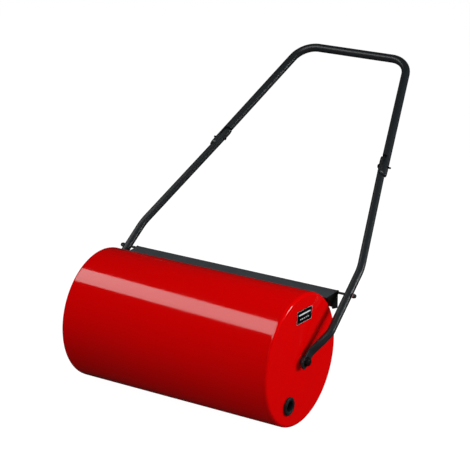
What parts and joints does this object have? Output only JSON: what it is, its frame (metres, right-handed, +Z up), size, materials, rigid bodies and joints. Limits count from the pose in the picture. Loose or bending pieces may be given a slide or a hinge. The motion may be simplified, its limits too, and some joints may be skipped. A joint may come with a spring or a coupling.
{
  "type": "lawn roller",
  "caption": "Push lawn roller: a hollow water-filled steel drum on stub axles, with a bent-tube push bar that folds at its joint bolts and a scraper behind the drum.",
  "frame": {"origin": "on the ground, under the middle of the drum: the centre of the drum shell's lowest flat", "axes": "+X along the drum's axle, towards the end with the filler hole and the label; +Y back towards the push bar; +Z up"},
  "size_m": [0.672, 0.9372, 0.6936],
  "materials": {
    "red_paint": "high-gloss enamel",
    "black_coat": "satin powder coat",
    "black_steel": "black oxide",
    "zinc_steel": "bright zinc plating",
    "nylon": "moulded, matt",
    "rubber": "moulded, matt",
    "label_film": "printed film"
  },
  "bodies": {
    "frame": {"lower_tube_right": "black_coat", "lower_tube_left": "black_coat", "pivot_bush_right": "nylon", "pivot_bush_left": "nylon", "axle_washer_right": "black_steel", "axle_washer_left": "black_steel", "joint_bolt_right": "black_steel", "joint_bolt_left": "black_steel", "joint_nut_right": "black_steel", "joint_nut_left": "black_steel", "scraper_rod": "black_steel", "rod_clip_right": "black_steel", "rod_clip_left": "black_steel", "rod_nut_right": "zinc_steel", "rod_nut_left": "zinc_steel", "rod_cap_right": "nylon", "rod_cap_left": "nylon"},
    "drum": {"drum_shell": "red_paint", "end_disc_right": "red_paint", "end_disc_left": "red_paint", "axle_hub_right": "red_paint", "axle_hub_left": "red_paint", "axle_bolt_right": "black_steel", "axle_bolt_left": "black_steel", "filler_collar": "black_steel", "label_plate": "label_film"},
    "bung": {"filler_bung": "rubber"},
    "handle": {"upper_handle": "black_coat"},
    "scraper": {"scraper_blade": "black_coat"}
  },
  "joints": [
    {"name": "drum_spin", "type": "hinge", "parent": "frame", "child": "drum", "pos_m": [0, 0, 0.16], "axis": [1, 0, 0], "continuous": true},
    {"name": "handle_fold", "type": "hinge", "parent": "frame", "child": "handle", "pos_m": [0, 0.48079, 0.48797], "axis": [1, 0, 0], "range_deg": [0, 150]},
    {"name": "scraper_swing", "type": "hinge", "parent": "frame", "child": "scraper", "pos_m": [0, 0.16481, 0.27242], "axis": [1, 0, 0], "range_deg": [-25, 0]},
    {"name": "bung_pull", "type": "slide", "parent": "drum", "child": "bung", "axis": [1, 0, 0], "range_m": [0, 0.04]}
  ]
}
